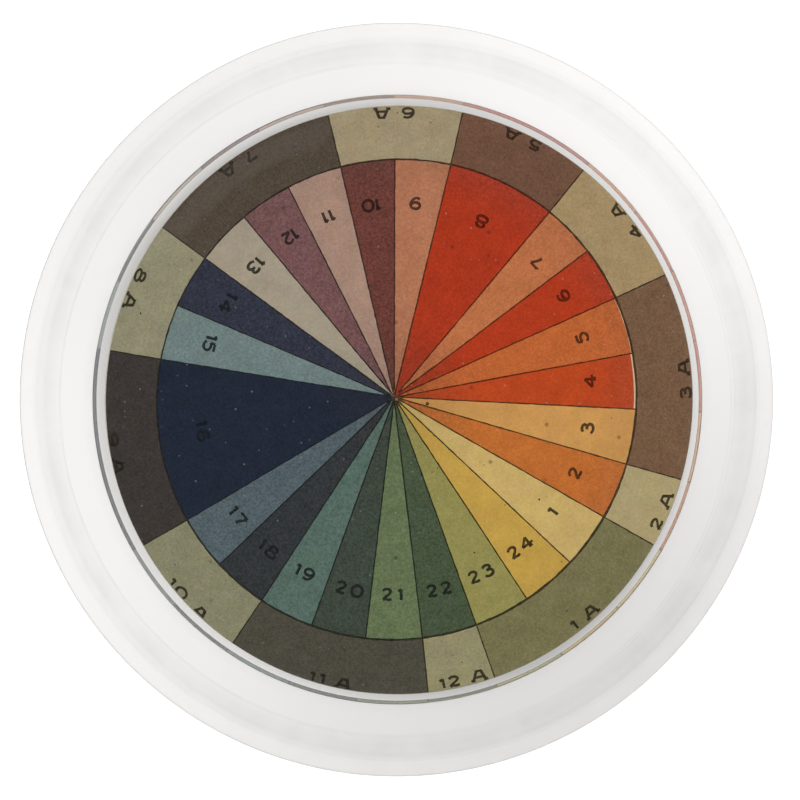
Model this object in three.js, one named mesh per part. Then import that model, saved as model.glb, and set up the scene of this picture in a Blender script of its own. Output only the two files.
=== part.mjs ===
// Round glass paperweight: a thick clear body with a domed lens, and a numbered colour circle under it.
// Units are millimetres, +Z is up, and the origin is on the axis at the underside of the felt pad.
import * as THREE from 'three';

// Glass body: a thick round slab with a flat shoulder and a rounded rim
const bodyDiameter = 88.6;
const shoulderDiameter = 79.4;
const shoulderDrop = 0.12;
const bellyHeight = 10.5;
const baseRoundWidth = 2.4;

// Dome: the polished lens in the middle, which a steep step parts from the shoulder
const domeDiameter = 70.2;
const domeRadius = 62;
const domeEdgeHeight = 17.4;
const stepHeight = 1.7;
const stepSlopeDegrees = 74;
const stepFilletRadius = 0.5;

// Layers under the glass, from the top down
const printDiameter = 61.4;
const printThickness = 0.15;
const cardDiameter = 60.4;
const cardThickness = 0.6;
const adhesiveDiameter = 58;
const adhesiveThickness = 0.12;
const feltDiameter = 58.6;
const feltThickness = 1.2;
const feltEdgeRadius = 0.35;

// The print was cut and laid by hand, so its centre lies a little off the axis
const printShift = new THREE.Vector2(0.35, -0.04);

// How finely round shapes are cut
const turnSteps = 80;
const domeSteps = 9;
const rimSteps = 7;
const baseSteps = 5;
const filletSteps = 3;

// Heights that follow from the layers
const cardBottom = feltThickness + adhesiveThickness;
const printBottom = cardBottom + cardThickness;
const glassBottom = printBottom + printThickness;
const domeEdge = glassBottom + domeEdgeHeight;
const shoulderTop = domeEdge - stepHeight;

const colours = {
  glass: new THREE.MeshStandardMaterial({
    color: 0xe9eeec,
    roughness: 0.03,
    metalness: 0,
    transparent: true,
    opacity: 0.35,
  }),
  print: new THREE.MeshStandardMaterial({ color: 0x8f8a6b, roughness: 0.8, metalness: 0 }),
  card: new THREE.MeshStandardMaterial({ color: 0xe4e0d4, roughness: 0.85, metalness: 0 }),
  adhesive: new THREE.MeshStandardMaterial({ color: 0xd9d7c8, roughness: 0.4, metalness: 0 }),
  felt: new THREE.MeshStandardMaterial({ color: 0x23352c, roughness: 1, metalness: 0 }),
};

// Adds the points of an arc of an ellipse, from one angle to another, without its first point
function addArc(points, centre, radii, from, to, steps) {
  for (let i = 1; i <= steps; i += 1) {
    const angle = from + ((to - from) * i) / steps;
    points.push(new THREE.Vector2(
      centre.x + radii.x * Math.cos(angle),
      centre.y + radii.y * Math.sin(angle),
    ));
  }
}

// Turns a profile of radius and height about +Z; the profile runs from the bottom up, on its outside
function turned(profile) {
  const geometry = new THREE.LatheGeometry(profile, turnSteps);
  geometry.rotateX(Math.PI / 2);
  return geometry;
}

function glassProfile() {
  const bodyRadius = bodyDiameter / 2;
  const shoulderRadius = shoulderDiameter / 2;
  const domeHalf = domeDiameter / 2;
  const belly = glassBottom + bellyHeight;
  const points = [
    new THREE.Vector2(0, glassBottom),
    new THREE.Vector2(bodyRadius - baseRoundWidth, glassBottom),
  ];

  // From the ground base out to the widest place, then over the rounded rim to the shoulder
  const baseCentre = new THREE.Vector2(bodyRadius - baseRoundWidth, belly);
  const baseRadii = new THREE.Vector2(baseRoundWidth, bellyHeight);
  addArc(points, baseCentre, baseRadii, -Math.PI / 2, 0, baseSteps);
  const rimCentre = new THREE.Vector2(shoulderRadius, belly);
  const rimRadii = new THREE.Vector2(bodyRadius - shoulderRadius, shoulderTop - shoulderDrop - belly);
  addArc(points, rimCentre, rimRadii, 0, Math.PI / 2, rimSteps);

  // Flat shoulder, then the fillet that turns up into the steep step
  const slope = THREE.MathUtils.degToRad(stepSlopeDegrees);
  const filletHeight = stepFilletRadius * (1 - Math.cos(slope));
  const stepRun = (stepHeight - filletHeight) / Math.tan(slope);
  const filletX = domeHalf + stepRun + stepFilletRadius * Math.sin(slope);
  const filletCentre = new THREE.Vector2(filletX, shoulderTop + stepFilletRadius);
  const filletRadii = new THREE.Vector2(stepFilletRadius, stepFilletRadius);
  points.push(new THREE.Vector2(filletX, shoulderTop));
  addArc(points, filletCentre, filletRadii, -Math.PI / 2, -Math.PI / 2 - slope, filletSteps);

  // Edge of the dome, then the dome itself up to the axis
  points.push(new THREE.Vector2(domeHalf, domeEdge));
  const edgeAngle = Math.acos(domeHalf / domeRadius);
  const domeCentre = new THREE.Vector2(0, domeEdge - domeRadius * Math.sin(edgeAngle));
  const domeRadii = new THREE.Vector2(domeRadius, domeRadius);
  addArc(points, domeCentre, domeRadii, edgeAngle, Math.PI / 2, domeSteps);
  points[points.length - 1].x = 0;
  return points;
}

// A flat disc that fills the height from bottom to bottom plus thickness
function discProfile(radius, bottom, thickness) {
  return [
    new THREE.Vector2(0, bottom),
    new THREE.Vector2(radius, bottom),
    new THREE.Vector2(radius, bottom + thickness),
    new THREE.Vector2(0, bottom + thickness),
  ];
}

// The felt stands on a flat face, with its lower edge worn round
function feltProfile() {
  const radius = feltDiameter / 2;
  const points = [
    new THREE.Vector2(0, 0),
    new THREE.Vector2(radius - feltEdgeRadius, 0),
  ];
  const centre = new THREE.Vector2(radius - feltEdgeRadius, feltEdgeRadius);
  const radii = new THREE.Vector2(feltEdgeRadius, feltEdgeRadius);
  addArc(points, centre, radii, -Math.PI / 2, 0, filletSteps);
  points.push(new THREE.Vector2(radius, feltThickness));
  points.push(new THREE.Vector2(0, feltThickness));
  return points;
}

function piece(name, geometry, material) {
  const mesh = new THREE.Mesh(geometry, material);
  mesh.name = name;
  return mesh;
}

const glassBody = piece('glass_body', turned(glassProfile()), colours.glass);

const printDisc = discProfile(printDiameter / 2, printBottom, printThickness);
const colourPrint = piece('colour_print', turned(printDisc), colours.print);
colourPrint.position.set(printShift.x, printShift.y, 0);

const cardDisc = discProfile(cardDiameter / 2, cardBottom, cardThickness);
const backingCard = piece('backing_card', turned(cardDisc), colours.card);

const adhesiveDisc = discProfile(adhesiveDiameter / 2, feltThickness, adhesiveThickness);
const padAdhesive = piece('pad_adhesive', turned(adhesiveDisc), colours.adhesive);

const feltPad = piece('felt_pad', turned(feltProfile()), colours.felt);

const paperweight = new THREE.Group();
paperweight.add(glassBody, colourPrint, backingCard, padAdhesive, feltPad);

export default paperweight;
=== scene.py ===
"""Domed glass paperweight over a numbered colour circle, with a card and a felt pad behind the print.

Lengths are metres in the part's own frame: +Z is up along the axis, and the felt stands on Z = 0.
Angles on the print run clockwise from +X, as they are read from above.
"""

import math
import random
from collections import namedtuple

import bpy
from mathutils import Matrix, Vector


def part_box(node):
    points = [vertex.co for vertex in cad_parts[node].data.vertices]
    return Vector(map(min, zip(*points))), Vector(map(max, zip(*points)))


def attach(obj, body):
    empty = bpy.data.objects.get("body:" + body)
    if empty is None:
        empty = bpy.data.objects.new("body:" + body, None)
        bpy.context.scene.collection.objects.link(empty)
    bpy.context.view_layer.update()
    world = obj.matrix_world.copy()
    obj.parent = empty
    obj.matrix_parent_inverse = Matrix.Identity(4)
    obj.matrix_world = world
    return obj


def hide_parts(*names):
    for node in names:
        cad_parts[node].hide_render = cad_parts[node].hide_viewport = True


bl_info = {
    "name": "Colour circle paperweight",
    "version": (1, 0, 0),
    "blender": (4, 5, 0),
    "location": "3D View > Sidebar > Paperweight",
    "description": "Builds a domed glass paperweight over a printed and numbered colour circle",
    "category": "Object",
}

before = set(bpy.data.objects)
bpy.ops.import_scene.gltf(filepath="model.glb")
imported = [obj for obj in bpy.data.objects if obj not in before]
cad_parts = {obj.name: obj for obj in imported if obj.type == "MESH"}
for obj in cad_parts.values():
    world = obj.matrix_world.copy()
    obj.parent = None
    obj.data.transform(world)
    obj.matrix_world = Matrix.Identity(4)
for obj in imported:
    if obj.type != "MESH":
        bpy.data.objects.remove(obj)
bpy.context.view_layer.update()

MM = 0.001
GLASS_LOW, GLASS_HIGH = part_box("glass_body")
SHEET_LOW, SHEET_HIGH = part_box("colour_print")
FELT_LOW, FELT_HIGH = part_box("felt_pad")

# Points closer than this are one point, and less in the fine strokes of the pen
MERGE = 0.002 * MM
FINE_MERGE = MERGE / 4

# Segments round the glass and round the felt, and steps of the arcs in the glass profile
GLASS_SEGMENTS = 240
FELT_SEGMENTS = 220
BASE_STEPS = 16
RIM_STEPS = 24
HOLLOW_STEPS = 12
EDGE_STEPS = 5
LENS_STEPS = 30

# A ring of corners this close to the edge of the flat ground face keeps its shading level
LEVEL_RING = 0.3 * MM

# Two more corners of the shoulder, near its rim and near the hollow, and the share of its drop at each
RIM_CORNER = 0.4 * MM
RIM_CORNER_DROP = 0.88
HOLLOW_CORNER = 0.3 * MM
HOLLOW_CORNER_DROP = 0.1

# Painted shade in bands of the glass's colour, in millimetres from the axis: where each rises and is full,
# where it fades and ends, and its strength there. One over the rim, a painted shade line on the crease of
# the shoulder, and a painted shadow at the foot of the step
PAINTED_SHADE_BANDS = (
    (39.2, 40.8, 40.6, 43.6, 1.0, 0.3),
    (39.30, 39.45, 39.45, 39.75, 0.7, 0.0),
    (35.64, 35.65, 35.65, 37.2, 0.45, 0.0),
)

# The print sinks this far into the glass, where clear glue joins them without a film of air
GLUE_CONTACT = 0.02 * MM

# Rings of corners on the sheet in millimetres, one outside which nothing is drawn aside, one past the cut
SHEET_RINGS = (0, 0.8, 2.5, 4, 5.5, 7, 8.5, 10, 15, 20, 21.5, 23)
STEADY_RADIUS = 28 * MM
UNCUT_RADIUS = 32 * MM

# The oval of the circle is whole up to this far outside it, and fades out towards the steady ring
OVAL_MARGIN = 0.3 * MM

# Width of the sheet's faces round the centre, in degrees
FACE_ANGLE = 1.6

# A colour is read this far on a face's own side of the line between two fields
OWN_SIDE = 0.001 * MM

# Ring sectors clockwise, each with its name, its ink, how far out and how far aside its label stands
# in millimetres, and its wedges: number, ink, end angle, and how far out and aside the number stands
RING = (
    ("3A", "725742", 30.17, -0.27, (
        ("5", "B86133", 348.9, 0.03, 0.12),
        ("4", "B34521", 362.3, -0.18, 0.39),
        ("3", "C49153", 375.7, -0.23, 0.13),
    )),
    ("2A", "A79870", 30.05, -0.03, (
        ("2", "B86931", 389.5, -0.25, 0.06),
    )),
    ("1A", "736E4C", 29.98, 0.48, (
        ("1", "C2A667", 403.2, -0.29, 0.11),
        ("24", "BB9849", 416.8, -0.31, 0.02),
        ("23", "8E8850", 430.5, -0.18, -0.17),
    )),
    ("12A", "8E8868", 30.00, 0.30, (
        ("22", "46523D", 443.8, -0.07, -0.07),
    )),
    ("11A", "4B483E", 30.19, 0.32, (
        ("21", "626F4F", 457.4, -0.02, -0.26),
        ("20", "3E463D", 470.6, 0.04, 0.07),
        ("19", "54685F", 483.9, 0.09, -0.30),
    )),
    ("10A", "828066", 30.22, 0.39, (
        ("18", "333638", 497.0, 0.19, -0.06),
        ("17", "515D62", 510.1, 0.21, -0.10),
    )),
    ("9A", "3C3734", 29.89, 0.48, (
        ("16", "222936", 549.7, 0.16, -0.36),
    )),
    ("8A", "8B876E", 29.64, 0.09, (
        ("15", "6B7B7A", 563.3, -0.02, -0.17),
        ("14", "323541", 576.4, -0.13, -0.04),
    )),
    ("7A", "4F453B", 29.61, 0.14, (
        ("13", "9E9381", 590.1, -0.05, -0.21),
        ("12", "715050", 603.0, -0.04, -0.16),
        ("11", "A18373", 616.5, 0.06, -0.06),
    )),
    ("6A", "9A8C6F", 29.90, 0.12, (
        ("10", "673C35", 629.6, 0.07, 0.13),
        ("9", "AB7154", 643.0, 0.21, 0.29),
    )),
    ("5A", "6B4D3D", 30.24, 0.14, (
        ("8", "A6361E", 669.2, 0.21, 0.22),
    )),
    ("4A", "9E8863", 30.36, 0.04, (
        ("7", "B56D45", 682.1, 0.19, -0.04),
        ("6", "AA391E", 695.1, 0.11, 0.12),
    )),
)
FIRST_ANGLE = 335.1

# Numbers whose two figures stand closer together than the others'
CLOSE_NUMBERS = ("10", "11", "12", "13", "15")

# Wedges whose red ink stops short of the circle, each with the width of the bare paper
SHORT_INK = {"4": 0.27 * MM, "5": 0.155 * MM}

# Hole left by the compass point, and the dirt rubbed in round it
PRICK = "8C6E56"
RUBBED_DIRT = "33261F"

# What soils the inks round the centre: its share of any ink, its further share of a red, and its reach
SMUDGE = "3E332A"
SMUDGE_SHARE = 0.10
SMUDGE_RED_SHARE = 0.28
SMUDGE_REACH = (1.0 * MM, 10.0 * MM)

# What dulls the red inks where they near the circle line, its share, and where it starts
HANDLED = "4A4440"
HANDLED_SHARE = 0.20
HANDLED_START = 20.0 * MM

# Key ink is tinted by what is printed this far beside it, by this power, and lets this much of a red through
BESIDE_KEY = 0.3 * MM
KEY_TINT = 0.4
RED_THROUGH = 0.19

# How far key ink lies off the sheet, and how thick the lines, the figures and the circle line lie
KEY_LIFT = 0.004 * MM
LINE_THICKNESS = 0.02 * MM
FIGURE_THICKNESS = 0.022 * MM
CIRCLE_THICKNESS = 0.024 * MM

# How far inside the cut the lines end, and how far inside it the figures are trimmed
LINE_MARGIN = 0.02 * MM
FIGURE_MARGIN = 0.01 * MM

# Ruling pen: how its width varies, and in millimetres where its lines start, how far they miss the centre,
# and how far they sway
PEN_WEIGHT = (0.75, 1.2)
LINE_START = (0.25, 0.7)
LINE_MISS = 0.07
LINE_SWAY = 0.014

# The points of its lines lie this far apart, and a line is straight again this far from the centre
LINE_STEP = 0.5 * MM
MISS_REACH = 6 * MM

# Circle line: its points, its sway in millimetres, and how far outside the wheel's radius it lies
CIRCLE_POINTS = 300
CIRCLE_SWAY = 0.018
CIRCLE_OUTSET = 0.01 * MM

# Where along it the pen pressed hardest, as a clockwise angle in degrees, and how much harder
PRESSED_ANGLE = 35
PRESSED_SHARE = 0.18

# Stray spots of key ink: clockwise angle in degrees, distance from the centre and width in millimetres
STRAY_SPOTS = (
    (10.4, 3.22, 0.44), (44.5, 5.43, 0.16), (58.7, 8.22, 0.14), (63.7, 8.28, 0.17), (37.0, 11.17, 0.14),
    (37.1, 10.66, 0.12), (35.1, 17.77, 0.26), (63.0, 17.50, 0.24), (44.3, 15.45, 0.16), (44.5, 23.85, 0.18),
    (51.2, 28.10, 0.22), (5.0, 22.00, 0.15), (71.9, 13.12, 0.16), (198.6, 28.10, 0.26),
    (270.1, 29.95, 0.18), (276.9, 29.05, 0.20), (266.1, 28.40, 0.18), (143.4, 28.75, 0.18),
    (76.1, 28.05, 0.17), (77.8, 27.10, 0.14),
)

# Tail of a stray spot and the pen's weight at its two ends, in shares of its width
SPOT_TAIL = (0.6, -0.25)
SPOT_WEIGHTS = (0.8, 0.6)

# Gaps between the figures of a number, of a close one and of a label, and more before a label's letter
NUMBER_GAP = 0.44 * MM
CLOSE_GAP = 0.17 * MM
LABEL_GAP = 0.50 * MM
LETTER_GAP = 0.66 * MM

# How the pen's weight varies along a figure, how far a figure may lean, and the points of a closed loop
FIGURE_WEIGHT = (0.88, 1.12)
FIGURE_LEAN = 0.03
LOOP_POINTS = 12

# Pen strokes of each figure, in shares of its height; "o" marks a closed loop and "-" a stroke with corners
FIGURES = {
    "0": (0.96, (("o", 0.48, 0.50, 0.48, 0.50),)),
    "1": (0.36, (
        ("-", (0.08, 0.80), (0.34, 0.99)),
        ("-", (0.35, 1.0), (0.36, 0.0)),
    )),
    "2": (0.80, (
        ("~", (0.03, 0.80), (0.13, 0.94), (0.37, 1.0), (0.62, 0.92), (0.71, 0.74), (0.60, 0.54),
         (0.36, 0.35), (0.13, 0.17), (0.02, 0.02)),
        ("~", (0.02, 0.02), (0.28, 0.06), (0.52, 0.01), (0.79, 0.05)),
    )),
    "3": (0.84, (
        ("~", (0.08, 0.86), (0.23, 0.98), (0.47, 1.0), (0.70, 0.91), (0.73, 0.74), (0.58, 0.60),
         (0.34, 0.55)),
        ("~", (0.34, 0.55), (0.64, 0.53), (0.83, 0.37), (0.80, 0.14), (0.56, 0.0), (0.26, 0.01),
         (0.03, 0.15)),
    )),
    "4": (1.12, (
        ("-", (0.72, 0.92), (0.0, 0.24), (1.12, 0.25)),
        ("-", (0.72, 0.92), (0.72, 0.0)),
        ("-", (0.54, 0.0), (0.92, 0.0)),
    )),
    "5": (0.80, (
        ("-", (0.80, 0.99), (0.14, 0.98), (0.09, 0.58)),
        ("~", (0.09, 0.58), (0.34, 0.65), (0.62, 0.60), (0.80, 0.42), (0.76, 0.16), (0.52, 0.0),
         (0.24, 0.0), (0.01, 0.14)),
    )),
    "6": (0.86, (
        ("~", (0.80, 0.90), (0.57, 1.0), (0.30, 0.92), (0.10, 0.68), (0.02, 0.38), (0.10, 0.12),
         (0.38, 0.0), (0.68, 0.04), (0.86, 0.26), (0.78, 0.48), (0.54, 0.58), (0.28, 0.54),
         (0.05, 0.38)),
    )),
    "7": (0.84, (
        ("-", (0.0, 0.88), (0.04, 1.0), (0.82, 0.98)),
        ("~", (0.82, 0.98), (0.62, 0.64), (0.46, 0.32), (0.38, 0.0)),
    )),
    "8": (0.96, (
        ("o", 0.48, 0.77, 0.35, 0.24),
        ("o", 0.48, 0.26, 0.48, 0.29),
    )),
    "9": (0.86, (
        ("~", (0.06, 0.10), (0.29, 0.0), (0.56, 0.08), (0.76, 0.32), (0.84, 0.62), (0.76, 0.88),
         (0.48, 1.0), (0.18, 0.96), (0.0, 0.74), (0.08, 0.52), (0.32, 0.42), (0.58, 0.46),
         (0.81, 0.62)),
    )),
    "A": (1.38, (
        ("-", (0.42, 1.0), (0.98, 1.0)),
        ("-", (0.53, 1.0), (0.20, 0.02)),
        ("-", (0.90, 1.0), (1.18, 0.02)),
        ("-", (0.34, 0.34), (1.06, 0.34)),
        ("-", (0.0, 0.05), (0.34, 0.0)),
        ("-", (1.04, 0.0), (1.38, 0.05)),
    )),
}

# Felt: rings of corners under it, rows up its worn edge and its side, and its ring on top as a share
FELT_RINGS = 24
FELT_EDGE_ROWS = 4
FELT_ROWS = 3
FELT_TOP_RING = 0.6

# Its side, outside this share of its radius, is uneven by up to this many millimetres but for its two rims
SIDE_SHARE = 0.98
FUZZ = 0.08
FUZZ_MARGIN = 0.02 * MM

# Loose hairs: how many, in how many steps, how wide, how deep they root, and how they bend and thin
HAIR_COUNT = 760
HAIR_STEPS = 3
HAIR_WIDTH = 0.022 * MM
HAIR_ROOT = 0.1 * MM
HAIR_BEND = 0.35
HAIR_THINNING = 0.5

# Hairs stay this far above the floor, and rise no more than this above the pad
HAIR_LOWEST = 0.02 * MM
HAIR_RISE = 0.4 * MM


def linear(code):
    """Turns an sRGB hex colour into linear red, green and blue with full alpha."""
    values = []
    for start in (0, 2, 4):
        part = int(code[start:start + 2], 16) / 255
        values.append(part / 12.92 if part <= 0.04045 else ((part + 0.055) / 1.055) ** 2.4)
    return (*values, 1.0)


Field = namedtuple("Field", "text ink start end outward sideways")


def read_ring():
    """Lists the wedges and the sectors: text, ink, both angles, and how far out and aside the text is."""
    wedges, sectors = [], []
    first = start = FIRST_ANGLE
    for label, ring_ink, radius, aside, inner in RING:
        for number, ink, end, outward, sideways in inner:
            wedges.append(Field(number, linear(ink), start, end, outward * MM, sideways * MM))
            start = end
        sectors.append(Field(label, linear(ring_ink), first, start, radius * MM, aside * MM))
        first = start
    return wedges, sectors


WEDGES, SECTORS = read_ring()


def length_field(name, description, value):
    """A length that the user can change."""
    return bpy.props.FloatProperty(name=name, description=description, default=value, unit="LENGTH")


def pair_field(name, description, values):
    """Two lengths that the user can change together."""
    return bpy.props.FloatVectorProperty(
        name=name, description=description, default=values, size=2, unit="LENGTH")


def angle_field(name, description, degrees):
    """An angle that the user can change."""
    return bpy.props.FloatProperty(
        name=name, description=description, default=math.radians(degrees), subtype="ANGLE")


def colour_field(name, description, code):
    """A colour that the user can change, from its sRGB hex value."""
    return bpy.props.FloatVectorProperty(
        name=name, description=description, default=linear(code)[:3], subtype="COLOR")


class PaperweightGlass(bpy.types.PropertyGroup):
    """Sizes of the glass."""

    body_radius: length_field(
        "Body radius", "Radius of the glass at its widest place", (GLASS_HIGH.x - GLASS_LOW.x) / 2)
    bottom: length_field(
        "Bottom", "Height of the flat ground face that the print is glued to", GLASS_LOW.z)
    belly_height: length_field(
        "Belly height", "Height of the widest place above the flat face", 10.5 * MM)
    base_round: length_field(
        "Base rounding", "How far the flat face stays inside the widest place", 2.4 * MM)
    shoulder_radius: length_field(
        "Shoulder radius", "Radius at which the shoulder turns down into the rim", 39.7 * MM)
    shoulder_drop: length_field(
        "Shoulder drop", "How far the shoulder falls from the step to the rim", 0.12 * MM)
    lens_radius: length_field(
        "Lens radius", "Radius of the domed lens at its edge", 35.2 * MM)
    lens_curve: length_field(
        "Lens curve", "Radius of the ball that the lens is part of", 62.0 * MM)
    lens_edge_height: length_field(
        "Lens edge height", "Height of the lens edge above the flat face", 17.4 * MM)
    step_height: length_field(
        "Step height", "Height of the steep step from the shoulder to the lens edge", 1.7 * MM)
    step_slope: angle_field("Step slope", "Slope of the step", 76)
    step_fillet: length_field(
        "Step fillet", "Radius of the hollow where the shoulder turns up", 0.3 * MM)
    edge_round: length_field(
        "Edge rounding", "Radius left by fire polishing on the lens edge", 0.15 * MM)
    tint: colour_field("Tint", "Colour of the glass in its thickness", "FFFFFE")


class PaperweightPrint(bpy.types.PropertyGroup):
    """Sizes and colours of the printed sheet."""

    sheet_radius: length_field(
        "Sheet radius", "Radius of the sheet as it was cut", (SHEET_HIGH.x - SHEET_LOW.x) / 2)
    sheet_centre: pair_field(
        "Sheet centre", "Middle of the cut sheet", ((SHEET_HIGH + SHEET_LOW) / 2).xy)
    sheet_oval: length_field(
        "Sheet oval", "How far the hand-cut sheet reaches past its radius at its longest", 0.085 * MM)
    sheet_long_angle: angle_field(
        "Sheet long angle", "Clockwise angle of the sheet's longest reach", 123.0)
    wheel_radius: length_field(
        "Wheel radius", "Radius of the line round the 24 wedges", 24.63 * MM)
    wheel_oval: length_field(
        "Wheel oval", "How far that line reaches past its radius at its longest", 0.223 * MM)
    wheel_long_angle: angle_field(
        "Wheel long angle", "Clockwise angle of that line's longest reach", 132.3)
    wheel_centre: pair_field(
        "Wheel centre", "Middle of the line round the wedges", (0.08 * MM, 0.0))
    meeting_shift: pair_field(
        "Meeting shift", "How far the wedges' lines meet beside the middle of their circle",
        (-0.26 * MM, 0.24 * MM))
    line_width: length_field(
        "Line width", "Width of the lines between the wedges", 0.14 * MM)
    circle_line_width: length_field(
        "Circle line width", "Width of the line round the wedges", 0.222 * MM)
    number_radius: length_field(
        "Number radius", "How far out the numbers of the wedges stand", 19.81 * MM)
    number_size: pair_field(
        "Number size", "Width and height of one unit of a wedge's number", (1.12 * MM, 1.15 * MM))
    label_size: pair_field(
        "Label size", "Width and height of one unit of a ring label", (1.30 * MM, 1.08 * MM))
    pen_width: length_field(
        "Pen width", "Width of the pen strokes of the numbers", 0.285 * MM)
    paper: colour_field(
        "Paper", "Colour of the aged paper where no ink covers it", "C9AA86")
    cut_edge: colour_field(
        "Cut edge", "Colour of the paper's cut edge and back", "B4AFA4")
    ink: colour_field(
        "Ink", "Colour of the key ink inside the circle", "222223")
    ring_ink: colour_field(
        "Ring ink", "Colour of the key ink outside the circle, where it has worn paler", "2B2721")
    ink_cover: bpy.props.FloatProperty(
        name="Ink cover", description="Share of a grey colour under the key ink that it hides",
        default=0.935, min=0.0, max=1.0, subtype="FACTOR")


class PaperweightBacking(bpy.types.PropertyGroup):
    """Sizes and colours of what is behind the print."""

    felt_radius: length_field(
        "Felt radius", "Radius of the felt pad", (FELT_HIGH.x - FELT_LOW.x) / 2)
    felt_thickness: length_field(
        "Felt thickness", "Thickness of the felt pad", FELT_HIGH.z - FELT_LOW.z)
    felt_edge: length_field(
        "Felt edge", "Rounding of the felt pad's worn lower edge", 0.35 * MM)
    felt: colour_field("Felt", "Colour of the felt", "2B4236")
    card: colour_field("Card", "Colour of the backing card", "D9D2C0")
    adhesive: colour_field("Adhesive", "Colour of the adhesive film", "D8D2B8")


def node(tree, kind, inputs=None, **settings):
    """Adds a node with its options, and gives its inputs values, or links from sockets or other nodes."""
    made = tree.nodes.new(kind)
    for name, value in settings.items():
        setattr(made, name, value)
    for name, value in (inputs or {}).items():
        if isinstance(value, bpy.types.Node):
            value = value.outputs[0]
        if isinstance(value, bpy.types.NodeSocket):
            tree.links.new(value, made.inputs[name])
        else:
            made.inputs[name].default_value = value
    return made


def new_material(name):
    """Makes an empty material and returns it with its tree and its Object coordinates."""
    material = bpy.data.materials.new(name)
    material.use_nodes = True
    tree = material.node_tree
    tree.nodes.clear()
    return material, tree, node(tree, "ShaderNodeTexCoord").outputs["Object"]


def surfaced(material, shader):
    """Gives a material its surface, and returns the material."""
    node(material.node_tree, "ShaderNodeOutputMaterial", {"Surface": shader})
    return material


def mottle(tree, place, noise, low, high, used=0.2):
    """Tones from low to high in soft patches, of the noise that lies up to a share from its middle."""
    patches = node(tree, "ShaderNodeTexNoise", {"Vector": place, **noise})
    return node(tree, "ShaderNodeMapRange", {
        "Value": patches, "From Min": 0.5 - used, "From Max": 0.5 + used, "To Min": low, "To Max": high})


def scattered_specks(tree, place, spacing, chosen, strength):
    """A mask of small round specks: one near the middle of some of the cells of a loose net."""
    cells = node(tree, "ShaderNodeTexVoronoi", {"Vector": place, "Scale": 1 / spacing}, feature="F1")
    near = node(tree, "ShaderNodeMapRange", {
        "Value": cells, "From Min": 0.05, "From Max": 0.15, "To Min": 1.0, "To Max": 0.0})
    lot = node(tree, "ShaderNodeSeparateColor", {"Color": cells.outputs["Color"]})
    few = node(tree, "ShaderNodeMapRange", {
        "Value": lot, "From Min": 1 - chosen, "From Max": 1.0, "To Min": 0.0, "To Max": strength})
    return node(tree, "ShaderNodeMath", {0: near, 1: few}, operation="MULTIPLY")


def clear_glass(tint):
    """Pressed soda glass, polished: clear and smooth, darkened by painted shade in faint grey streaky bands
    over the rim where it turns down, on its crease and beside the step.
    """
    material, tree, place = new_material("polished_clear_glass")
    flat = node(tree, "ShaderNodeMapping", {"Vector": place, "Scale": (1.0, 1.0, 0.0)})
    reach = node(tree, "ShaderNodeVectorMath", {0: flat}, operation="LENGTH").outputs["Value"]

    # The painted shade bands, laid over one another
    painted_shade = 0.0
    for rise, full, fade, end, strong, weak in PAINTED_SHADE_BANDS:
        inner = node(tree, "ShaderNodeMapRange", {
            "Value": reach, "From Min": rise * MM, "From Max": full * MM}, interpolation_type="SMOOTHSTEP")
        outer = node(tree, "ShaderNodeMapRange", {
            "Value": reach, "From Min": fade * MM, "From Max": end * MM,
            "To Min": strong, "To Max": weak}, interpolation_type="SMOOTHSTEP")
        painted_shade = node(tree, "ShaderNodeMath", {0: inner, 1: outer, 2: painted_shade}, operation="MULTIPLY_ADD")

    # The painted shade is uneven, in streaks several millimetres long and drawn out along the radius and
    # across it
    shade_streaks = mottle(tree, flat, {
        "Scale": 130.0, "Detail": 4.0, "Roughness": 0.6, "Distortion": 1.2}, 0.04, 0.15)
    # Painted shade: the bands, broken by the streaks, darken the colour of the glass
    shade_loss = node(tree, "ShaderNodeMath", {0: painted_shade, 1: shade_streaks}, operation="MULTIPLY")
    kept = node(tree, "ShaderNodeMath", {0: 1.0, 1: shade_loss}, operation="SUBTRACT")
    colour = node(tree, "ShaderNodeVectorMath", {0: (*tint,), "Scale": kept}, operation="SCALE")
    glass = node(tree, "ShaderNodeBsdfPrincipled", {
        "Base Color": colour, "Roughness": 0.0, "IOR": 1.52, "Transmission Weight": 1.0})
    passing = node(tree, "ShaderNodeBsdfTransparent", {"Color": linear("FBFBFB")})
    path = node(tree, "ShaderNodeLightPath").outputs
    either = node(tree, "ShaderNodeMath", {
        0: path["Is Shadow Ray"], 1: path["Is Diffuse Ray"]}, operation="MAXIMUM")
    return surfaced(material, node(tree, "ShaderNodeMixShader", {0: either, 1: glass, 2: passing}))


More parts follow.
